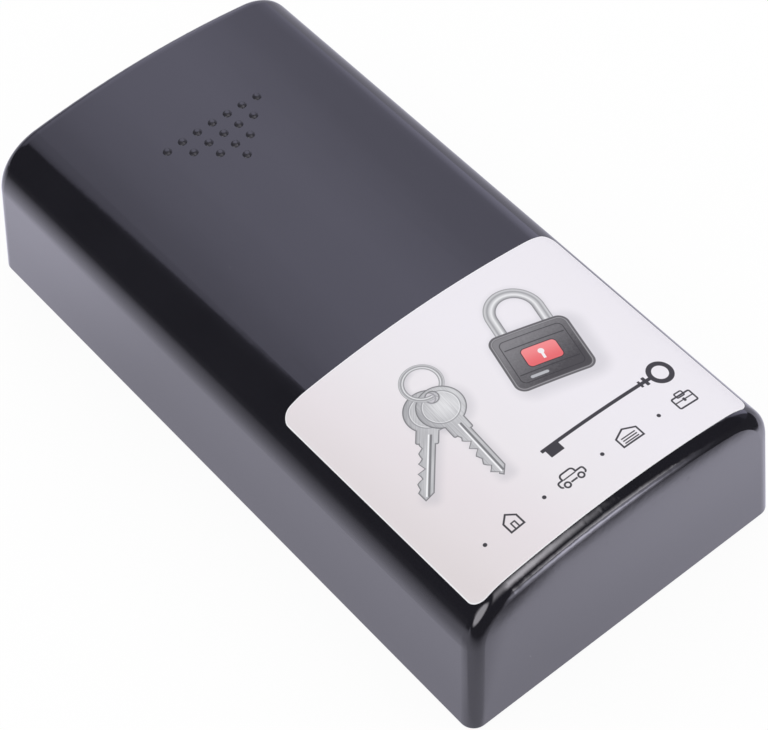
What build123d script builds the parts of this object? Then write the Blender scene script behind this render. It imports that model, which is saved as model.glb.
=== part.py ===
from build123d import *
from math import cos, radians, sqrt, tan
import os

os.makedirs("parts", exist_ok=True)

# Magnetic key box, in millimetres.
# The steel that the magnets hold to is the plane z = 0. +X runs along the box towards the label,
# and the cover slides that way off its base. The origin is under the middle of the box.

# Cover: outer form
cover_length = 120.0          # at the rim
cover_width = 61.6            # at the rim
cover_height = 29.7           # from the rim to the top of the crown
crown_drop = 3.45             # how far the crown's arc falls over half the width
draft_angle = 3.5             # lean of the side and end walls, in degrees
side_edge_radius = 9.6        # roll of the two long top edges
end_edge_radius = 2.4         # edges round both ends
rim_edge_radius = 0.3
wall = 2.0
inner_edge_radius = 0.9

# Grip dots: rows across the top, each two dots shorter than the last, so that they point to the front
dot_pitch = 3.0
dot_diameter = 1.5
dot_height = 0.5
first_row_dots = 7
first_row_inset = 21.8        # from the rim's rear to the longest row

# Slide: lip and guide stubs on the cover, tongue on the base
magnet_standoff = 0.4         # the magnets stand this far below the rim
lip_height = 1.0
lip_overlap = 1.3             # how far the tongue lies over the lip
slide_clearance = 0.25        # running gap, up and down
side_clearance = 0.25         # running gap, sideways
stop_clearance = 0.3          # gap at the front and rear stops when closed
seam_gap = 0.2                # gap between the rear panel and its opening
guides_per_side = 4
guide_length = 6.0
guide_height = 1.0            # upright part, below the slope that runs up to the wall
guide_end_inset = 12.0        # from the rim's ends to the middle of the outermost guides
bead_height = 0.12            # snap beads on the tongue, lower than the running gap
bead_length = 5.0
bead_side_margin = 0.15

# Base
plate_thickness = 2.2
plate_corner_radius = 1.2
opening_headroom = 0.4        # from the top of the wells to the edge of the rear opening
rib_height = 1.6
rib_width = 1.2
rib_spacing = 28.0
thumb_notch_radius = 12.0
thumb_notch_depth = 0.9
thumb_notch_height = 4.5

# Magnets, and the wells that hold them
magnet_length = 40.0          # across the box
magnet_width = 22.0           # along the box
magnet_thickness = 5.0
magnet_corner_radius = 1.0
magnet_chamfer = 0.3
magnet_inset = 27.0           # from the rim's ends to the middle of each magnet
tape_thickness = 0.4
tape_margin = 1.0
well_clearance = 0.15
well_wall = 1.2
well_edge_radius = 0.5

# Label
label_length = 44.1           # along the box
label_width = 53.4            # across the box, seen from above
label_corner_radius = 1.9
label_thickness = 0.12
label_front_inset = 3.6       # from the rim's front to the label's front edge, seen from above

# Ejector marks inside the crown, along its middle
ejector_marks = 3
ejector_diameter = 6.0
ejector_depth = 0.2
ejector_spacing = 42.0

# Levels
rim_z = magnet_standoff
lip_top_z = rim_z + lip_height
tongue_bottom_z = lip_top_z + slide_clearance
plate_top_z = rim_z + plate_thickness
guide_bottom_z = plate_top_z + slide_clearance
well_ceiling_z = magnet_thickness + tape_thickness
well_top_z = well_ceiling_z + well_wall
opening_top_z = well_top_z + opening_headroom
crown_z = rim_z + cover_height

# Plan sizes of the slide, from the walls' inner faces at the level of the tongue's top
slope = tan(radians(draft_angle))
wall_across = wall / cos(radians(draft_angle))
channel_inset = (plate_top_z - rim_z) * slope + wall_across
channel_half_width = cover_width / 2 - channel_inset
tongue_half_width = channel_half_width - side_clearance
tongue_front_x = cover_length / 2 - channel_inset - stop_clearance
lip_half_width = tongue_half_width - lip_overlap
lip_front_x = tongue_front_x - lip_overlap
plate_half_width = lip_half_width - side_clearance
plate_front_x = lip_front_x - stop_clearance
panel_half_width = channel_half_width - seam_gap
panel_inner_x = wall - cover_length / 2
slide_rear_x = panel_inner_x + stop_clearance
opening_depth = wall_across + (opening_top_z - rim_z) * slope + inner_edge_radius
mid_wall = wall / 2

# Crown: an arc whose middle is over the box's centre line
crown_radius = ((cover_width / 2) ** 2 + crown_drop**2) / (2 * crown_drop)


def crown_height_at(y):
    """Height of the crown's arc above z = 0, at a distance y from the centre line."""
    return crown_z - crown_radius + sqrt(crown_radius**2 - y**2)


def moulded_form(growth, end_radius, foot):
    """The cover's outer form, grown by growth on every side and carried down by foot below the rim."""
    foot_z = rim_z - foot
    foot_half = cover_width / 2 + foot * slope
    eave_half = cover_width / 2 - (cover_height - crown_drop) * slope
    eave_z = crown_height_at(eave_half)
    low_z = foot_z - abs(growth) - wall
    high_z = crown_z + abs(growth) + wall
    end_x = cover_length / 2 + growth / cos(radians(draft_angle))
    low_x = end_x + (rim_z - low_z) * slope
    high_x = end_x + (rim_z - high_z) * slope
    with BuildPart() as form:
        with BuildSketch(Plane.YZ) as section:
            with BuildLine():
                Polyline((-eave_half, eave_z), (-foot_half, foot_z), (foot_half, foot_z), (eave_half, eave_z))
                ThreePointArc((eave_half, eave_z), (0, crown_z), (-eave_half, eave_z))
            make_face()
            fillet(section.vertices().sort_by(Axis.Y)[-2:], side_edge_radius)
            if growth:
                offset(amount=growth, kind=Kind.INTERSECTION)
        extrude(amount=cover_length, both=True)
        with BuildSketch(Plane.XZ):
            with BuildLine():
                Polyline((-low_x, low_z), (low_x, low_z), (high_x, high_z), (-high_x, high_z), close=True)
            make_face()
        extrude(amount=cover_width, both=True, mode=Mode.INTERSECT)
        for end in (0, -1):
            end_face = form.faces().sort_by(Axis.X)[end]
            fillet(end_face.edges().sort_by(Axis.Z)[1:], end_radius)
    return form.part


# Solid blanks that the cover, the base's rear panel and the label are cut from
with BuildPart() as outer_blank:
    add(moulded_form(0, end_edge_radius, 0))
    fillet(outer_blank.edges().group_by(Axis.Z)[0], rim_edge_radius)

cavity_form = moulded_form(-wall, inner_edge_radius, 2 * wall)
label_form = moulded_form(label_thickness, end_edge_radius + label_thickness, 0)

with BuildPart() as panel_blank:
    add(outer_blank.part)
    with BuildSketch(Plane.YZ.offset(-cover_length / 2)):
        with Locations((0, rim_z)):
            Rectangle(2 * panel_half_width, opening_top_z - seam_gap - rim_z, align=(Align.CENTER, Align.MIN))
    extrude(amount=wall, mode=Mode.INTERSECT)

# Cover shell
guide_span = cover_length - 2 * guide_end_inset
guide_pitch = guide_span / (guides_per_side - 1)
wall_middle_y = cover_width / 2 - mid_wall - (guide_bottom_z + guide_height) * slope

with BuildPart() as cover_shell:
    add(outer_blank.part)
    add(cavity_form, mode=Mode.SUBTRACT)

    # rear opening, which the base passes through
    with BuildSketch(Plane.YZ.offset(-cover_length / 2)):
        with Locations((0, rim_z)):
            Rectangle(2 * channel_half_width, 2 * (opening_top_z - rim_z))
    extrude(amount=opening_depth, mode=Mode.SUBTRACT)

    # lip under the tongue, along both sides and the front
    with BuildSketch(Plane.XY.offset(rim_z)):
        with BuildLine():
            outer_y = cover_width / 2 - mid_wall
            outer_x = cover_length / 2 - mid_wall
            Polyline(
                (slide_rear_x, outer_y),
                (outer_x, outer_y),
                (outer_x, -outer_y),
                (slide_rear_x, -outer_y),
                (slide_rear_x, -lip_half_width),
                (lip_front_x, -lip_half_width),
                (lip_front_x, lip_half_width),
                (slide_rear_x, lip_half_width),
                close=True,
            )
        make_face()
    extrude(amount=lip_height)

    # guide stubs above the tongue
    for index in range(guides_per_side):
        guide_x = index * guide_pitch - guide_span / 2 - guide_length / 2
        with BuildSketch(Plane.YZ.offset(guide_x)):
            with BuildLine():
                Polyline(
                    (lip_half_width, guide_bottom_z),
                    (wall_middle_y, guide_bottom_z),
                    (wall_middle_y, guide_bottom_z + guide_height + wall_middle_y - lip_half_width),
                    (lip_half_width, guide_bottom_z + guide_height),
                    close=True,
                )
            make_face()
            mirror(about=Plane.YZ)
        extrude(amount=guide_length)

    # ejector marks
    with BuildSketch(Plane.XY.offset(crown_z - wall + ejector_depth)):
        with GridLocations(ejector_spacing, 1, ejector_marks, 1):
            Circle(ejector_diameter / 2)
    extrude(amount=-wall, mode=Mode.SUBTRACT)

    # grip dots, each the cap of a ball sunk into the crown
    dot_ball_radius = ((dot_diameter / 2) ** 2 + dot_height**2) / (2 * dot_height)
    rows = (first_row_dots + 1) // 2
    for row in range(rows):
        dots_in_row = first_row_dots - 2 * row
        dot_x = first_row_inset - cover_length / 2 + row * dot_pitch
        for place in range(dots_in_row):
            dot_y = (place - (dots_in_row - 1) / 2) * dot_pitch
            with Locations((dot_x, dot_y, crown_height_at(dot_y) + dot_height - dot_ball_radius)):
                Sphere(dot_ball_radius)

cover_shell.part.label = "cover_shell"
export_step(cover_shell.part, "parts/cover_shell.step")

# Label, wrapped over the crown and a little way round the long edges
with BuildPart() as label_sheet:
    add(label_form)
    add(outer_blank.part, mode=Mode.SUBTRACT)
    with BuildSketch(Plane.XY.offset(rim_z + cover_height / 2)):
        with Locations((cover_length / 2 - label_front_inset - label_length / 2, 0)):
            RectangleRounded(label_length, label_width, label_corner_radius)
    extrude(amount=cover_height, mode=Mode.INTERSECT)

label_sheet.part.label = "label_sheet"
export_step(label_sheet.part, "parts/label_sheet.step")

# Sliding base
magnet_x = cover_length / 2 - magnet_inset
pocket_width = magnet_width + 2 * well_clearance
pocket_length = magnet_length + 2 * well_clearance
well_width = pocket_width + 2 * well_wall
well_length = pocket_length + 2 * well_wall
pocket_corner_radius = magnet_corner_radius + well_clearance
well_corner_radius = pocket_corner_radius + well_wall

with BuildPart() as sliding_base:
    # plate, and the wider tongue along its upper edges
    with BuildSketch(Plane.XY.offset(rim_z)):
        with Locations((panel_inner_x, 0)):
            Rectangle(plate_front_x - panel_inner_x, 2 * plate_half_width, align=(Align.MIN, Align.CENTER))
    extrude(amount=plate_thickness)
    with BuildSketch(Plane.XY.offset(tongue_bottom_z)) as tongue:
        with Locations((panel_inner_x, 0)):
            Rectangle(tongue_front_x - panel_inner_x, 2 * tongue_half_width, align=(Align.MIN, Align.CENTER))
        fillet(tongue.vertices().sort_by(Axis.X)[-2:], plate_corner_radius)
    extrude(amount=plate_top_z - tongue_bottom_z)

    # snap beads under the outermost guide stubs
    with BuildSketch(Plane.XY.offset(plate_top_z)):
        with GridLocations(guide_span, lip_half_width + tongue_half_width, 2, 2):
            Rectangle(bead_length, lip_overlap - 2 * bead_side_margin)
    extrude(amount=bead_height)

    # wells for the magnets, and the two ribs that run between them
    with BuildSketch(Plane.XY.offset(plate_top_z)):
        with GridLocations(2 * magnet_x, 1, 2, 1):
            RectangleRounded(well_width, well_length, well_corner_radius)
    extrude(amount=well_top_z - plate_top_z)
    fillet(sliding_base.edges().group_by(Axis.Z)[-1], well_edge_radius)
    with BuildSketch(Plane.XY.offset(plate_top_z)):
        with Locations((panel_inner_x, rib_spacing / 2), (panel_inner_x, -rib_spacing / 2)):
            Rectangle(plate_front_x - panel_inner_x, rib_width, align=(Align.MIN, Align.CENTER))
    extrude(amount=rib_height)
    with BuildSketch():
        with GridLocations(2 * magnet_x, 1, 2, 1):
            RectangleRounded(pocket_width, pocket_length, pocket_corner_radius)
    extrude(amount=well_ceiling_z, mode=Mode.SUBTRACT)

    # rear panel, flush with the cover's rear wall, and its thumb notch
    add(panel_blank.part)
    with BuildSketch(Plane.XY.offset(rim_z)):
        with Locations((thumb_notch_depth - cover_length / 2 - thumb_notch_radius, 0)):
            Circle(thumb_notch_radius)
    extrude(amount=thumb_notch_height, mode=Mode.SUBTRACT)

sliding_base.part.label = "sliding_base"
export_step(sliding_base.part, "parts/sliding_base.step")

# Magnets, each with the tape that holds it to the ceiling of its well
for name, x in (("front_magnet", magnet_x), ("rear_magnet", -magnet_x)):
    with BuildPart() as magnet:
        with BuildSketch():
            with Locations((x, 0)):
                RectangleRounded(magnet_width, magnet_length, magnet_corner_radius)
        extrude(amount=magnet_thickness)
        chamfer(magnet.faces().filter_by(Axis.Z).edges(), magnet_chamfer)
    magnet.part.label = name
    export_step(magnet.part, f"parts/{name}.step")

    with BuildPart() as tape:
        with BuildSketch(Plane.XY.offset(magnet_thickness)):
            with Locations((x, 0)):
                Rectangle(magnet_width - 2 * tape_margin, magnet_length - 2 * tape_margin)
        extrude(amount=tape_thickness)
    tape.part.label = f"{name}_tape"
    export_step(tape.part, f"parts/{name}_tape.step")
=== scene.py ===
from math import cos, pi, radians, sin

import bpy
from mathutils import Matrix, Vector


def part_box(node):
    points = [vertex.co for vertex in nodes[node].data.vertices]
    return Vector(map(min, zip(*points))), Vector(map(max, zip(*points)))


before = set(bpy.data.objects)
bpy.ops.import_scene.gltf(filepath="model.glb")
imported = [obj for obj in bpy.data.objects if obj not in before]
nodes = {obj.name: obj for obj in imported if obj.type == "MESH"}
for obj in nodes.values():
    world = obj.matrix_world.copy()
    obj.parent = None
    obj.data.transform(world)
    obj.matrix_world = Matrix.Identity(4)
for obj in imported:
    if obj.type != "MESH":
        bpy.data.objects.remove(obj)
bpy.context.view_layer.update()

MM = 0.001


def point(x, y, z):
    """A place given in millimetres, as a vector in metres."""
    return Vector((x, y, z)) * MM


# Shader arithmetic
class Field:
    """A number that a shader works out at each place. Ordinary sums on it make Math nodes."""

    def __init__(self, tree, socket):
        self.tree = tree
        self.socket = socket

    def math(self, operation, *others):
        node = self.tree.nodes.new("ShaderNodeMath")
        node.operation = operation
        for socket, value in zip(node.inputs, (self, *others)):
            join(self.tree, socket, value)
        return Field(self.tree, node.outputs[0])

    def __add__(self, other):
        return self.math("ADD", other)

    def __sub__(self, other):
        return self.math("SUBTRACT", other)

    def __mul__(self, other):
        return self.math("MULTIPLY", other)

    def __truediv__(self, other):
        return self.math("DIVIDE", other)

    def __radd__(self, other):
        return self + other

    def __rmul__(self, other):
        return self * other

    def __rsub__(self, other):
        return self.math("MULTIPLY_ADD", -1.0, other)

    def __neg__(self):
        return self * -1.0

    def __abs__(self):
        return self.math("ABSOLUTE")

    def above(self, other):
        return self.math("MAXIMUM", other)

    def below(self, other):
        return self.math("MINIMUM", other)

    def beside(self, other):
        """The length of the vector of this number and another."""
        return (self * self + other * other).math("SQRT")

    def ease(self, low, high, start=0.0, end=1.0):
        """Goes smoothly from start to end while this number goes from low to high."""
        node = self.tree.nodes.new("ShaderNodeMapRange")
        node.interpolation_type = "SMOOTHSTEP"
        for name, number in (("From Min", low), ("From Max", high), ("To Min", start), ("To Max", end)):
            node.inputs[name].default_value = number
        join(self.tree, node.inputs["Value"], self)
        return Field(self.tree, node.outputs["Result"])

    def window(self, centre, half, soft):
        """1 while this number is within half of centre, falling to 0 over soft."""
        return abs(self - centre).ease(half, half + soft, 1.0, 0.0)

    def curve(self, low, high, colours):
        """A colour read off a ramp through (number, colour) pairs, for numbers from low to high."""
        ramp = self.tree.nodes.new("ShaderNodeValToRGB")
        stops = ramp.color_ramp.elements
        while len(stops) < len(colours):
            stops.new(0.5)
        for stop, (place, colour) in zip(stops, colours):
            stop.position = (place - low) / (high - low)
            stop.color = colour
        join(self.tree, ramp.inputs["Fac"], (self - low) / (high - low))
        return ramp.outputs["Color"]


def join(tree, socket, value):
    """Sets a number or colour on a socket, or links a field or another socket to it."""
    if isinstance(value, Field):
        tree.links.new(value.socket, socket)
    elif isinstance(value, bpy.types.NodeSocket):
        tree.links.new(value, socket)
    else:
        socket.default_value = value


def grey(tone):
    return (tone, tone, tone, 1)


def vector_math(tree, operation, *vectors):
    node = tree.nodes.new("ShaderNodeVectorMath")
    node.operation = operation
    for socket, vector in zip(node.inputs, vectors):
        join(tree, socket, vector)
    return node


def dot(tree, vector, direction):
    """How far a vector points along a fixed direction."""
    return Field(tree, vector_math(tree, "DOT_PRODUCT", vector, direction).outputs["Value"])


def parts_of(tree, vector):
    """The x, y and z of a vector, as fields."""
    node = tree.nodes.new("ShaderNodeSeparateXYZ")
    join(tree, node.inputs[0], vector)
    return [Field(tree, output) for output in node.outputs]


def blend(tree, factor, first, second):
    """A colour between two, each a colour or a socket."""
    node = tree.nodes.new("ShaderNodeMix")
    node.data_type = "RGBA"
    join(tree, node.inputs["Factor"], factor)
    join(tree, node.inputs["A"], first)
    join(tree, node.inputs["B"], second)
    return node.outputs["Result"]


def place_of(tree):
    """The place on the piece, in metres, which moves with it."""
    return tree.nodes.new("ShaderNodeTexCoord").outputs["Object"]


def mapped(tree, vector, kind, place=(0, 0, 0), turn=(0, 0, 0), scale=(1, 1, 1)):
    """A vector scaled, turned and moved (kind POINT), or read in axes that are (kind TEXTURE)."""
    node = tree.nodes.new("ShaderNodeMapping")
    node.vector_type = kind
    join(tree, node.inputs["Vector"], vector)
    node.inputs["Location"].default_value = place
    node.inputs["Rotation"].default_value = turn
    node.inputs["Scale"].default_value = scale
    return node.outputs["Vector"]


def stretched(tree, vector, scale, turn=(0, 0, 0)):
    return mapped(tree, vector, "POINT", turn=turn, scale=scale)


def noise(tree, vector, grain, detail=2.0, roughness=0.5):
    """Noise with features about grain metres wide, from 0 to 1."""
    node = tree.nodes.new("ShaderNodeTexNoise")
    join(tree, node.inputs["Vector"], vector)
    node.inputs["Scale"].default_value = 1 / grain
    node.inputs["Detail"].default_value = detail
    node.inputs["Roughness"].default_value = roughness
    return Field(tree, node.outputs["Fac"])


def specks(tree, vector, spacing, size, share):
    """Round specks of radius size, one in a cell of the spacing, in the given share of the cells."""
    node = tree.nodes.new("ShaderNodeTexVoronoi")
    join(tree, node.inputs["Vector"], vector)
    node.inputs["Scale"].default_value = 1 / spacing
    near = Field(tree, node.outputs["Distance"]).ease(size / spacing * 0.6, size / spacing, 1.0, 0.0)
    return near * dot(tree, node.outputs["Color"], (1, 0, 0)).math("LESS_THAN", share)


def bump(tree, shader, *layers, normal=None):
    """Joins bump layers, each a height from 0 to 1 and the metres that 1 stands for, to the shader."""
    for height, metres in layers:
        node = tree.nodes.new("ShaderNodeBump")
        node.inputs["Distance"].default_value = metres
        join(tree, node.inputs["Height"], height)
        if normal is not None:
            tree.links.new(normal, node.inputs["Normal"])
        normal = node.outputs["Normal"]
    tree.links.new(normal, shader.inputs["Normal"])


def empty_tree(owner):
    """The cleared node tree of a material or a world."""
    owner.use_nodes = True
    owner.node_tree.nodes.clear()
    return owner.node_tree


def new_material(name):
    """A material with its output and a Principled shader joined to it."""
    material = bpy.data.materials.new(name)
    tree = empty_tree(material)
    output = tree.nodes.new("ShaderNodeOutputMaterial")
    shader = tree.nodes.new("ShaderNodeBsdfPrincipled")
    tree.links.new(shader.outputs["BSDF"], output.inputs["Surface"])
    return material, tree, shader


def dress(material, *node_names):
    """Gives CAD nodes their material."""
    for name in node_names:
        mesh = nodes[name].data
        mesh.materials.clear()
        mesh.materials.append(material)


# Materials. The crown is the cover's arched top. A grip dot begins and its flank ends over these
# heights above it. The last two numbers say how far a dot's shading turns towards the crown's.
CROWN_RADIUS = 139.2 * MM
CROWN_TOP = 30.1 * MM
DOT_FOOT = (0.01 * MM, 0.06 * MM)
DOT_FLANK_END = (0.36 * MM, 0.47 * MM)
DOT_FLANK_SOFTENING = 0.5
DOT_CROWN_LEVELLING = 4.0
# The dark grey of the dots' flanks is painted shade.
DOT_FLANK_PAINTED_SHADE = (0.030, 0.029, 0.037, 1)
GLOSS_DARK = (0.0085, 0.0082, 0.0110, 1)
GLOSS_LIGHT = (0.0130, 0.0125, 0.0165, 1)
DUST_COLOUR = (0.30, 0.29, 0.30, 1)


def gloss_black():
    """Polished black ABS: faint orange peel, a few hairlines, a little dust, and grip dots with a painted
    shade ring, their flanks turned dark grey, rougher and less shiny.
    """
    material, tree, shader = new_material("cover_gloss_black")
    place = place_of(tree)
    cloud = noise(tree, place, 14 * MM, 3)
    peel = noise(tree, place, 2.6 * MM, 2)
    grain = noise(tree, place, 0.35 * MM, 3)
    hairline = noise(tree, stretched(tree, place, (30, 900, 900), (0.3, 0.2, 0.9)), 1.0, 1).ease(0.66, 0.74)
    dust = specks(tree, place, 4.5 * MM, 0.07 * MM, 0.30)
    _, y, z = parts_of(tree, place)
    rise = y.beside(z + (CROWN_RADIUS - CROWN_TOP)) - CROWN_RADIUS
    dot_here = rise.ease(*DOT_FOOT)
    dot_flank = dot_here * rise.ease(*DOT_FLANK_END, 1.0, 0.0)
    softening = dot_here * DOT_CROWN_LEVELLING - dot_flank * (DOT_CROWN_LEVELLING - DOT_FLANK_SOFTENING)
    plastic = blend(tree, cloud, GLOSS_DARK, GLOSS_LIGHT)
    # Painted shade: the dots' flanks turn dark grey, which with their lowered shine reads as a dark ring.
    plastic = blend(tree, dot_flank * 0.8, plastic, DOT_FLANK_PAINTED_SHADE)
    join(tree, shader.inputs["Base Color"], blend(tree, dust, plastic, DUST_COLOUR))
    rough = cloud * 0.05 + 0.05 + hairline * 0.06 + dust * 0.4 + dot_flank * 0.28
    join(tree, shader.inputs["Roughness"], rough)
    shader.inputs["IOR"].default_value = 1.5
    join(tree, shader.inputs["Specular IOR Level"], 1.0 - dot_flank * 0.6)
    normal = tree.nodes.new("ShaderNodeNewGeometry").outputs["Normal"]
    crown = tree.nodes.new("ShaderNodeCombineXYZ")
    join(tree, crown.inputs["Y"], y * softening / CROWN_RADIUS)
    join(tree, crown.inputs["Z"], softening)
    softened = vector_math(tree, "ADD", normal, crown.outputs["Vector"]).outputs["Vector"]
    level = vector_math(tree, "NORMALIZE", softened).outputs["Vector"]
    bump(tree, shader, (peel, 0.006 * MM), (grain, 0.0006 * MM), (dust, 0.02 * MM), normal=level)
    return material


def satin_black():
    """Spark-textured black ABS with a few pale rub marks."""
    material, tree, shader = new_material("base_satin_black")
    place = place_of(tree)
    cloud = noise(tree, place, 9 * MM, 3)
    texture = noise(tree, place, 0.30 * MM, 3, 0.6)
    rub = noise(tree, stretched(tree, place, (60, 500, 500), (0, 0, 0.35)), 1.0, 2).ease(0.60, 0.78)
    plastic = blend(tree, cloud, (0.013, 0.013, 0.0145, 1), (0.021, 0.021, 0.023, 1))
    join(tree, shader.inputs["Base Color"], blend(tree, rub * 0.5, plastic, (0.050, 0.050, 0.052, 1)))
    join(tree, shader.inputs["Roughness"], texture * 0.22 + 0.34)
    bump(tree, shader, (texture, 0.020 * MM), (cloud, 0.05 * MM))
    return material


def ferrite():
    """Sintered ferrite: charcoal, with pores, pale crystals and fine grinding lines."""
    material, tree, shader = new_material("magnet_ferrite")
    place = place_of(tree)
    cloud = noise(tree, place, 5 * MM, 4)
    pores = specks(tree, place, 0.8 * MM, 0.13 * MM, 0.55)
    crystals = specks(tree, stretched(tree, place, (1, 1, 1), (0.7, 0.4, 0.2)), 0.55 * MM, 0.07 * MM, 0.4)
    grinding = noise(tree, stretched(tree, place, (1, 0.03, 1), (0, 0, 0.08)), 0.16 * MM, 2)
    body = blend(tree, cloud, (0.036, 0.036, 0.039, 1), (0.066, 0.065, 0.068, 1))
    body = blend(tree, pores, body, (0.012, 0.012, 0.013, 1))
    join(tree, shader.inputs["Base Color"], blend(tree, crystals, body, (0.17, 0.17, 0.18, 1)))
    join(tree, shader.inputs["Roughness"], grinding * 0.25 + 0.36)
    shader.inputs["Specular IOR Level"].default_value = 0.7
    bump(tree, shader, (grinding, 0.008 * MM), (1.0 - pores, 0.05 * MM))
    return material


def tape():
    """Double-sided tissue tape: milky adhesive with fibres in it."""
    material, tree, shader = new_material("mounting_tape")
    place = place_of(tree)
    cloud = noise(tree, place, 3 * MM, 4)
    fibre = noise(tree, stretched(tree, place, (300, 2500, 2500), (0, 0, 0.6)), 1.0, 2).ease(0.5, 0.7)
    milky = blend(tree, cloud, (0.50, 0.49, 0.45, 1), (0.62, 0.61, 0.57, 1))
    join(tree, shader.inputs["Base Color"], blend(tree, fibre, milky, (0.72, 0.71, 0.68, 1)))
    join(tree, shader.inputs["Roughness"], cloud * 0.2 + 0.45)
    bump(tree, shader, (fibre, 0.02 * MM))
    return material


# Label print. Its places are millimetres on the sheet, seen from above the front end: u runs across
# the box towards +Y and v towards the rear, from the middle of the sheet.
LABEL_LOW, LABEL_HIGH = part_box("label_sheet")
LABEL_MIDDLE = (Vector(LABEL_LOW) + Vector(LABEL_HIGH)) / 2
LABEL_HALF_U = (LABEL_HIGH[1] - LABEL_LOW[1]) / 2 / MM
LABEL_HALF_V = (LABEL_HIGH[0] - LABEL_LOW[0]) / 2 / MM
LABEL_CORNER = 1.9
BARE_EDGE = 0.12
# Paper tone across the sheet, darker and warmer towards -Y, lighter and cooler towards +Y: the brightness
# change is painted shade, the tint the print's own.
PAPER_AND_PAINTED_SHADE = (
    (-26.0, (0.756, 0.698, 0.712, 1)), (-13.0, (0.811, 0.756, 0.788, 1)),
    (-4.0, (0.844, 0.811, 0.844, 1)), (10.0, (0.868, 0.841, 0.893, 1)),
)
PAPER_BARE = (0.93, 0.925, 0.95, 1)
INK_DARK = (0.040, 0.037, 0.043, 1)
INK_RED = (0.84, 0.135, 0.148, 1)
INK_RED_LIGHT = (0.93, 0.26, 0.27, 1)
CASE_DARK = (0.060, 0.056, 0.060, 1)
CASE_MIDDLE = (0.125, 0.120, 0.128, 1)
CASE_LIGHT = (0.225, 0.220, 0.232, 1)
CASE_GROOVE = (0.028, 0.026, 0.028, 1)
RIM_LIGHT = (0.46, 0.45, 0.47, 1)
SHADOW_TINT = (0.50, 0.49, 0.53, 1)
STEEL_DARK = (0.17, 0.17, 0.18, 1)
STEEL = (
    (-1.0, STEEL_DARK), (-0.72, (0.42, 0.42, 0.44, 1)), (-0.30, (0.86, 0.86, 0.88, 1)),
    (0.05, (0.60, 0.60, 0.62, 1)), (0.35, (0.34, 0.34, 0.36, 1)), (0.70, (0.66, 0.66, 0.68, 1)),
    (1.0, (0.22, 0.22, 0.235, 1)),
)
STROKE = 0.30
RING_U = -8.6
RING_V = 11.0
RING_RADIUS = 3.0
HOLE_INSET = 2.2

# Each key's turn and its offset round the ring, in degrees
LOWER_KEY = (228, -22)
UPPER_KEY = (266, 5)
RING_FRONT_LIMIT = -0.3
PADLOCK_PLACE = (8.6, 3.6, -14)
LONG_KEY_PLACE = (8.6, -10.0)
ROW_V = -15.6
ROW_START = -14.6
ROW_PITCH = 11.2
ROW_DOT_BEFORE = 5.2


class Sheet:
    """A place on the label with its own axes, and the shapes drawn there as distances to their outline."""

    def __init__(self, tree, vector):
        self.tree = tree
        self.vector = vector
        self.u, self.v, _ = parts_of(tree, vector)

    def at(self, u, v, turn=0):
        """Axes moved to u, v and turned by so many degrees."""
        return Sheet(self.tree, mapped(self.tree, self.vector, "TEXTURE", (u, v, 0), (0, 0, radians(turn))))

    def disc(self, radius, u=0.0, v=0.0):
        return (self.u - u).beside(self.v - v) - radius

    def bar(self, half_u, half_v, radius=0.0, u=0.0, v=0.0):
        """A box with round corners."""
        out_u = (abs(self.u - u) - (half_u - radius))
        out_v = (abs(self.v - v) - (half_v - radius))
        outside = out_u.above(0.0).beside(out_v.above(0.0))
        return outside + out_u.above(out_v).below(0.0) - radius


def ink(sheet, under, distance, colour, strength=1.0, soft=0.09):
    """Lays a colour over another where the distance is below 0."""
    cover = distance.ease(-soft / 2, soft / 2, strength, 0.0)
    return blend(sheet.tree, cover, under, colour)


def outline(distance, stroke=STROKE):
    return abs(distance) - stroke / 2


def shade(sheet, under, distance, reach, strength):
    """A soft shadow round a shape."""
    cover = distance.ease(-0.5, reach, strength, 0.0)
    return blend(sheet.tree, cover, under, SHADOW_TINT)


def steel(across):
    """The streaks along polished steel, across it from -1 to 1."""
    return across.curve(-1.0, 1.0, STEEL)


def draw_key(paper, picture, turn, offset):
    """A flat steel key that hangs from the ring at turn degrees round it: bow, hole and toothed blade."""
    u = RING_U + RING_RADIUS * cos(radians(turn - offset)) + HOLE_INSET * cos(radians(turn))
    v = RING_V + RING_RADIUS * sin(radians(turn - offset)) + HOLE_INSET * sin(radians(turn))
    key = paper.at(u, v, turn)
    bow = key.disc(3.8)
    hole = key.disc(0.95, -HOLE_INSET)
    depth = (key.u * 1.1 + offset).math("SINE").ease(-1, 1, 0.5, 1.2)
    tooth = (key.u + offset * 0.02).math("PINGPONG", 0.85) * depth
    edge = -(key.v + 1.25 - tooth * key.u.ease(5.6, 6.4))
    tip = abs(key.v - 0.1) * 0.75 + key.u * 0.66 - 10.0
    blade = key.bar(6.3, 1.3, 0.3, 9.0).above(edge).above(tip)
    neck = key.bar(1.4, 1.75, 0.35, 4.3)
    body = bow.below(blade).below(neck).above(-hole)
    shadow = paper.at(u + 0.5, v - 0.7, turn)
    picture = shade(key, picture, shadow.disc(3.6).below(shadow.bar(6.0, 0.9, 0.5, 9.0)), 1.5, 0.40)
    grain = noise(key.tree, stretched(key.tree, key.vector, (0.25, 6, 1)), 1.0, 2)
    light = (grain - 0.5) * 0.8 + key.u.beside(key.v).ease(0.0, 3.8, 0.75, 0.35) + key.v * 0.06
    face = blend(key.tree, light.above(0.0).below(1.0), (0.36, 0.36, 0.38, 1), (0.86, 0.86, 0.88, 1))
    face = ink(key, face, key.bar(5.2, 0.17, 0.1, 9.2, 0.52), STEEL_DARK, 0.9)
    face = ink(key, face, key.bar(5.2, 0.12, 0.05, 9.2, 0.18), (0.95, 0.95, 0.97, 1), 0.9)
    face = ink(key, face, outline(key.disc(2.9), 0.18), (0.26, 0.26, 0.28, 1), 0.7)
    face = ink(key, face, outline(key.disc(2.72), 0.12), (0.93, 0.93, 0.95, 1), 0.6)
    face = blend(key.tree, body.ease(-0.32, -0.05), face, STEEL_DARK)
    return ink(key, picture, body, face)


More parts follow.
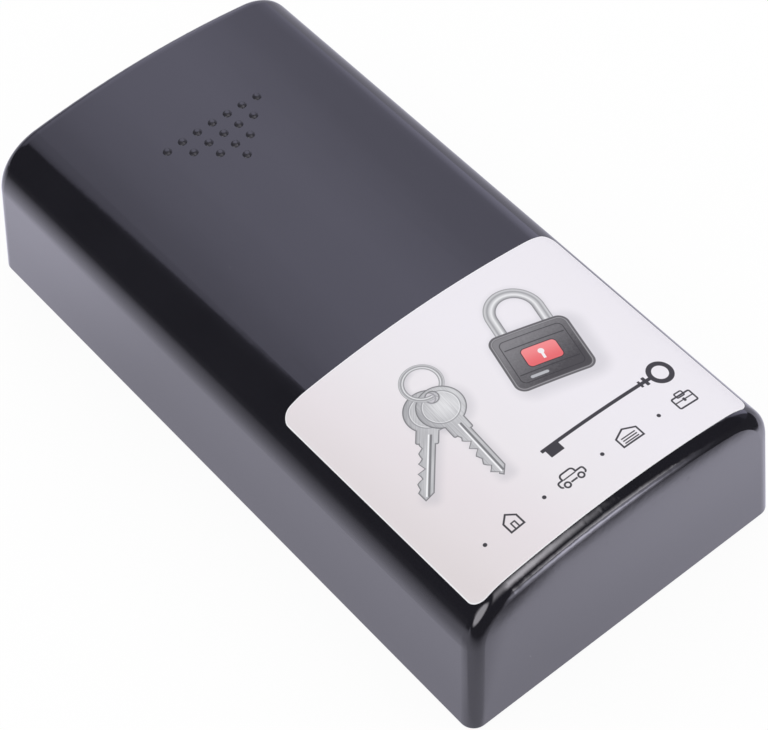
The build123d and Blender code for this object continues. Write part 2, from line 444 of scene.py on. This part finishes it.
def draw_ring(paper, picture, limit):
    """The split ring that holds the keys, two turns of steel wire, up to the limit along u."""
    ring = paper.at(RING_U, RING_V)
    away = ring.disc(RING_RADIUS)
    kept = ring.u - limit
    shadow = outline(paper.at(RING_U + 0.35, RING_V - 0.4).disc(RING_RADIUS), 0.5).above(kept)
    picture = shade(ring, picture, shadow, 0.8, 0.35)
    picture = ink(ring, picture, outline(away, 0.86).above(kept), steel(away / 0.43))
    return ink(ring, picture, outline(away, 0.12).above(kept), (0.13, 0.13, 0.14, 1), 0.7)


def draw_padlock(paper, picture, u, v, turn):
    """A padlock: steel shackle, charcoal case with a light rim, and a red plate with its keyhole."""
    lock = paper.at(u, v, turn)
    case = lock.bar(6.7, 5.6, 1.7)
    legs = lock.bar(3.9, 3.0, 0.0, 0, 6.4)
    arch = lock.disc(3.9, 0, 8.6)
    top = lock.v.ease(8.55, 8.65)
    away = (abs(lock.u) - 3.9) * (1.0 - top) + arch * top
    shackle = (abs(away) - 0.98).above(-(lock.v - 4.0))
    soft_shadow = paper.at(u + 0.7, v - 0.9, turn).bar(6.7, 5.6, 2.0)
    picture = shade(lock, picture, soft_shadow, 2.4, 0.42)
    picture = shade(lock, picture, shackle + 0.2, 1.2, 0.30)
    picture = ink(lock, picture, shackle, steel(away / 0.98))
    grain = noise(lock.tree, lock.vector, 0.35, 2)
    light = (lock.u * -0.05 + lock.v * 0.10 + 0.45 + (grain - 0.5) * 0.5).above(0.0).below(1.0)
    face = blend(lock.tree, light, CASE_DARK, CASE_LIGHT)
    face = blend(lock.tree, case.ease(-0.75, -0.35), face, CASE_MIDDLE)
    face = ink(lock, face, outline(case + 0.42, 0.16), RIM_LIGHT, 0.55)
    face = ink(lock, face, outline(lock.bar(5.3, 4.2, 0.9), 0.16), CASE_GROOVE, 0.8)
    face = ink(lock, face, lock.bar(5.0, 0.10, 0.05, 0, 2.5), CASE_GROOVE, 0.8)
    face = ink(lock, face, lock.bar(5.0, 0.10, 0.05, 0, -2.6), CASE_GROOVE, 0.8)
    plate = lock.bar(2.9, 1.75, 0.7, 0, -0.05)
    red = blend(lock.tree, lock.v.ease(-1.6, 1.6), INK_RED, INK_RED_LIGHT)
    face = ink(lock, face, plate - 0.14, (0.024, 0.022, 0.024, 1))
    face = ink(lock, face, plate, red)
    keyhole = lock.disc(0.50, 0, 0.35).below(lock.bar(0.22, 0.75, 0.05, 0, -0.35))
    face = ink(lock, face, keyhole, (0.90, 0.88, 0.90, 1))
    face = ink(lock, face, lock.bar(1.5, 0.26, 0.26, -2.2, -3.5), (0.52, 0.53, 0.56, 1), 0.9)
    return ink(lock, picture, case, face)


def draw_long_key(paper, picture, u, v):
    """A bold flat pictogram of a key, lying along the sheet."""
    key = paper.at(u, v)
    bow = outline(key.disc(1.75, 11.2), 0.85)
    shaft = key.bar(11.0, 0.30, 0.12, -1.4)
    bit = key.bar(1.25, 0.85, 0.12, -10.6, -0.85)
    collar = key.bar(0.30, 0.85, 0.15, 8.2).below(key.bar(0.22, 0.65, 0.1, 7.2))
    return ink(key, picture, bow.below(shaft).below(bit).below(collar), INK_DARK)


def draw_house(paper, picture, u, v):
    house = paper.at(u, v)
    roof = abs(house.u) * 0.66 + house.v * 0.75 - 0.96
    walls = (abs(house.u) - 1.20).above(-(house.v + 1.55))
    shape = outline(walls.above(roof)).below(outline(house.bar(0.34, 0.60, 0.0, 0, -0.98), 0.24))
    return ink(house, picture, shape, INK_DARK)


def draw_car(paper, picture, u, v):
    car = paper.at(u, v)
    body = car.bar(2.35, 0.52, 0.35, 0, -0.55).below(car.bar(1.25, 0.80, 0.55, -0.15, 0.05))
    wheels = car.disc(0.50, -1.30, -1.10).below(car.disc(0.50, 1.30, -1.10))
    shape = outline(body).above(-(wheels - 0.22)).below(outline(wheels + 0.05))
    return ink(car, picture, shape.below(car.bar(1.1, 0.11, 0.0, -0.15, -0.12)), INK_DARK)


def draw_garage(paper, picture, u, v):
    garage = paper.at(u, v)
    roof = abs(garage.u) * 0.42 + garage.v * 0.90 - 1.0
    shape = outline((abs(garage.u) - 1.95).above(-(garage.v + 1.55)).above(roof))
    for slat in range(3):
        shape = shape.below(garage.bar(1.35, 0.11, 0.0, 0, -0.25 - slat * 0.45))
    return ink(garage, picture, shape, INK_DARK)


def draw_case(paper, picture, u, v):
    case = paper.at(u, v)
    shape = outline(case.bar(1.75, 1.05, 0.25, 0, -0.45))
    handle = outline(case.bar(0.70, 0.45, 0.2, 0, 0.75), 0.26)
    seam = case.bar(1.75, 0.11, 0.0, 0, -0.35)
    clasp = case.bar(0.22, 0.34, 0.08, 0, -0.40)
    return ink(case, picture, shape.below(handle).below(seam).below(clasp), INK_DARK)


def draw_row(paper, picture, v):
    """Small pictograms of the places a key is for, each after a dot."""
    for index, draw in enumerate((draw_house, draw_car, draw_garage, draw_case)):
        u = ROW_START + index * ROW_PITCH
        picture = ink(paper, picture, paper.disc(0.33, u - ROW_DOT_BEFORE, v - 0.4), INK_DARK)
        picture = draw(paper, picture, u, v)
    return picture


def label_film():
    """Printed film: pale paper with painted shade that darkens it towards -Y, a bare edge, steel keys on a
    ring, a padlock, and pictograms.
    """
    material, tree, shader = new_material("label_film")
    place = place_of(tree)
    paper = Sheet(tree, mapped(tree, place, "TEXTURE", LABEL_MIDDLE, (0, 0, pi / 2), (MM, MM, MM)))
    cloud = noise(tree, place, 11 * MM, 3)
    grain = noise(tree, place, 0.12 * MM, 2)
    # Painted shade: the paper darkens towards -Y along this ramp.
    picture = (paper.u + paper.v * 0.25 + 4.0).curve(PAPER_AND_PAINTED_SHADE[0][0], PAPER_AND_PAINTED_SHADE[-1][0], PAPER_AND_PAINTED_SHADE)
    picture = blend(tree, cloud * 0.10, picture, (0.76, 0.74, 0.77, 1))
    picture = draw_ring(paper, picture, RING_RADIUS + 1)
    picture = draw_key(paper, picture, *LOWER_KEY)
    picture = draw_key(paper, picture, *UPPER_KEY)
    picture = draw_ring(paper, picture, RING_FRONT_LIMIT)
    picture = draw_padlock(paper, picture, *PADLOCK_PLACE)
    picture = draw_long_key(paper, picture, *LONG_KEY_PLACE)
    picture = draw_row(paper, picture, ROW_V)
    edge = paper.bar(LABEL_HALF_U, LABEL_HALF_V, LABEL_CORNER)
    picture = ink(paper, picture, -(edge + BARE_EDGE), PAPER_BARE)
    join(tree, shader.inputs["Base Color"], picture)
    join(tree, shader.inputs["Roughness"], grain * 0.12 + 0.40)
    bump(tree, shader, (grain, 0.0015 * MM), (cloud, 0.02 * MM))
    return material


dress(gloss_black(), "cover_shell")
dress(satin_black(), "sliding_base")
dress(ferrite(), "front_magnet", "rear_magnet")
dress(tape(), "front_magnet_tape", "rear_magnet_tape")
dress(label_film(), "label_sheet")


# Camera: the photograph's viewing angle, in degrees and millimetres
AZIMUTH = 52.415
ELEVATION = 52.535
ROLL = -2.909
DISTANCE = 418.9
AIM = point(5.235, -1.412, 10.4)
PIXEL_FOCUS = 2662.9
IMAGE_WIDTH = 768
SENSOR = 36.0


def make_camera():
    az = radians(AZIMUTH)
    el = radians(ELEVATION)
    back = Vector((sin(az) * cos(el), -cos(az) * cos(el), sin(el)))
    right = (-back).cross(Vector((0, 0, 1))).normalized()
    up = right.cross(-back)
    roll = radians(ROLL)
    rolled_right = right * cos(roll) + up * sin(roll)
    rolled_up = up * cos(roll) - right * sin(roll)
    data = bpy.data.cameras.new("camera")
    data.sensor_width = SENSOR
    data.lens = PIXEL_FOCUS * SENSOR / IMAGE_WIDTH
    data.clip_start = 0.01
    data.clip_end = 50
    camera = bpy.data.objects.new("camera", data)
    bpy.context.scene.collection.objects.link(camera)
    turn = Matrix((rolled_right, rolled_up, back)).transposed().to_4x4()
    camera.matrix_world = Matrix.Translation(AIM + back * DISTANCE * MM) @ turn
    bpy.context.scene.camera = camera


make_camera()


# Studio: a pale floor, a bright backdrop behind the object, a dark room on the camera's side, a soft
# box above the front, a low card before it and a soft lamp towards the front -Y corner. Lengths are in
# metres, and tones are light levels.
WHITE = (1, 1, 1, 1)
COOL = (0.94, 0.92, 1.20, 1)
NEUTRAL = (1.0, 0.97, 1.03, 1)
FLOOR_SIZE = 6.0
FLOOR_COLOUR = (0.86, 0.86, 0.86, 1)
FLOOR_TINT = (0.97, 0.95, 1.13, 1)
SIDE_FOOT = 0.031
SIDE_FADING = 0.061
FRONT_CORNER = 0.0585
SHADOW_SHARE = 0.07
DIFFUSE_LEVEL = 1.0
REFLECTION_LEVEL = 1.36
FLOOR_LEVEL = 1.17
DARK_ROOM = 0.03
BACKDROP_SIDE = (-0.774, 0.450, -0.447)
BACKDROP_TONES = (
    (-0.28, 0.30), (-0.10, 0.42), (0.08, 0.47), (0.17, 0.64), (0.27, 0.745), (0.42, 0.77),
    (0.52, 0.67), (0.57, 0.57), (0.65, 0.53), (0.80, 0.50), (0.86, 0.70), (1.0, 0.84),
)
BOX_DIRECTION = Vector((0.53, 0.11, 0.84)).normalized()
CARD_LEVEL = 2.6
CORNER_LAMP = Vector((0.33, -0.85, 0.41)).normalized()


def light_path(tree, *names):
    """1 for rays of any of these kinds."""
    node = tree.nodes.new("ShaderNodeLightPath")
    flag = Field(tree, node.outputs[names[0]])
    for name in names[1:]:
        flag = flag.above(Field(tree, node.outputs[name]))
    return flag


def plain_shader(tree, kind, colour, strength=None):
    """A simple shader with its colour and, where it has one, its strength."""
    node = tree.nodes.new("ShaderNode" + kind)
    join(tree, node.inputs["Color"], colour)
    if strength is not None:
        join(tree, node.inputs["Strength"], strength)
    return node.outputs[0]


def mix_shader(tree, factor, first, second):
    node = tree.nodes.new("ShaderNodeMixShader")
    join(tree, node.inputs[0], factor)
    tree.links.new(first, node.inputs[1])
    tree.links.new(second, node.inputs[2])
    return node.outputs[0]


def floor_tone(tree):
    """Painted reflection: the tone the floor glows with for glossy rays, which the black plastic mirrors;
    bright close by, dark further off on the camera's side, with painted shade at the walls' feet.
    """
    place = tree.nodes.new("ShaderNodeNewGeometry").outputs["Position"]
    x, y, _ = parts_of(tree, place)

    # Beside the -Y wall: bright at its foot and fading with the gap, brighter towards the rear; painted shade
    # dims the first 11 mm from the wall
    side_gap = (-y - SIDE_FOOT).above(0.0)
    fading = (side_gap * (-1 / SIDE_FADING)).math("EXPONENT")
    fading = fading.above(side_gap.ease(0.04, 0.17, 0.60, 0.05) * x.ease(-0.01, 0.04)).above(0.05)
    left = (x.ease(-0.068, -0.020, 0.40, 0.0) + 1.0) * fading * side_gap.ease(0.0, 0.011, 0.75, 1.0)
    back = dot(tree, place, (-0.6, 0.8, 0)).ease(0.02, 0.05)
    side = left + (0.55 - left) * back

    # Before the front wall: brighter towards +Y, with painted shade right at the wall's foot, and dark past a
    # narrow strip
    near = (y.above(-0.012).below(0.04) * 4.2 + 0.965) * x.ease(0.060, 0.072, 0.86, 1.0)
    near = near * y.ease(0.042, 0.062, 1.0, 0.62)
    gap_edge = x + (-y).above(0.0) * 0.16 + (y - 0.02).above(0.0) * 0.05
    front = near * gap_edge.ease(0.0738, 0.0766, 1.0, 0.0) + 0.05

    # A painted shadow wedge beyond the front -Y corner, and the bright patch that the front edge mirrors
    corner = ((y + SIDE_FOOT) / (x - FRONT_CORNER)).ease(0.65, 1.45, 1.0, 0.0)
    front = front + (x.ease(0.066, 0.100, 0.56, 0.04) - front) * corner
    patch = ((y + 0.054) / (x + 0.055)).window(0.43, 0.01, 0.21) * (y - x * 0.12).ease(-0.026, -0.018)
    patch = patch * x.ease(0.20, 0.70, 1.0, 0.72) * y.ease(0.030, 0.060, 1.0, 0.35)
    front = front + patch * x.ease(0.074, 0.128, 0.0, 3.9)
    return side + (front - side) * x.ease(0.058, 0.061)


def make_floor():
    bpy.ops.mesh.primitive_plane_add(size=FLOOR_SIZE)
    floor = bpy.context.object
    floor.name = "floor"
    material = bpy.data.materials.new("floor_white")
    tree = empty_tree(material)
    output = tree.nodes.new("ShaderNodeOutputMaterial")
    plain = plain_shader(tree, "BsdfDiffuse", FLOOR_COLOUR)
    shadowed = plain_shader(tree, "BsdfDiffuse", WHITE)
    glow = plain_shader(tree, "Emission", WHITE, 1.0)
    mirrored = plain_shader(tree, "Emission", FLOOR_TINT, floor_tone(tree) * FLOOR_LEVEL)
    seen = mix_shader(tree, SHADOW_SHARE, glow, shadowed)
    surface = mix_shader(tree, light_path(tree, "Is Glossy Ray", "Is Transmission Ray"), plain, mirrored)
    surface = mix_shader(tree, light_path(tree, "Is Camera Ray"), surface, seen)
    tree.links.new(surface, output.inputs["Surface"])
    floor.data.materials.append(material)


def add_shader(tree, first, second):
    node = tree.nodes.new("ShaderNodeAddShader")
    tree.links.new(first, node.inputs[0])
    tree.links.new(second, node.inputs[1])
    return node.outputs[0]


def make_world():
    world = bpy.data.worlds.new("studio")
    bpy.context.scene.world = world
    tree = empty_tree(world)
    output = tree.nodes.new("ShaderNodeOutputWorld")
    direction = tree.nodes.new("ShaderNodeTexCoord").outputs["Generated"]
    x, y, z = parts_of(tree, direction)

    # The backdrop, on its side of the room only
    side = dot(tree, direction, BACKDROP_SIDE)
    side = side.ease(-0.014, 0.014).above(side.ease(-0.10, -0.01) * 0.08) * y.ease(-0.34, -0.26)
    side = side * x.ease(-0.97, -0.90, 0.3, 1.0) * x.ease(0.02, 0.16, 1.0, 0.12)
    low = BACKDROP_TONES[0][0]
    tones = [(place, grey(tone)) for place, tone in BACKDROP_TONES]
    backdrop = dot(tree, y.curve(low, 1.0, tones), (1, 0, 0))
    room = DARK_ROOM + (backdrop - DARK_ROOM) * side

    # The soft box with its brighter strip, the low card and the corner lamp
    box_across = Vector((0, 1, 0))
    box_across = (box_across - box_across.dot(BOX_DIRECTION) * BOX_DIRECTION).normalized()
    box_along = box_across.cross(BOX_DIRECTION)
    box = dot(tree, direction, BOX_DIRECTION).ease(0.5, 0.6)
    box = box * dot(tree, direction, box_along).window(-0.08, 0.05, 0.52)
    box = box * y.window(-0.03, 0.33, 0.10) * (y.window(0.13, 0.02, 0.18) * 2.1 + 1.3)
    card = (y / x.above(0.01)).window(0.395, 0.06, 0.165) * z.ease(-0.05, 0.46, 1.0, 0.0) * x.ease(0.0, 0.1)
    lamp = dot(tree, direction, CORNER_LAMP).ease(0.895, 0.955, 0.0, 2.2)

    mirrored_room = plain_shader(tree, "Background", COOL, room * REFLECTION_LEVEL)
    lights = (box + card * CARD_LEVEL + lamp) * REFLECTION_LEVEL
    mirrored = add_shader(tree, mirrored_room, plain_shader(tree, "Background", NEUTRAL, lights))
    soft = plain_shader(tree, "Background", WHITE, DIFFUSE_LEVEL)
    white = plain_shader(tree, "Background", WHITE, 1.0)
    surface = mix_shader(tree, light_path(tree, "Is Glossy Ray"), soft, mirrored)
    surface = mix_shader(tree, light_path(tree, "Is Camera Ray"), surface, white)
    tree.links.new(surface, output.inputs["Surface"])


make_floor()
make_world()
bpy.context.scene.view_settings.view_transform = "Standard"
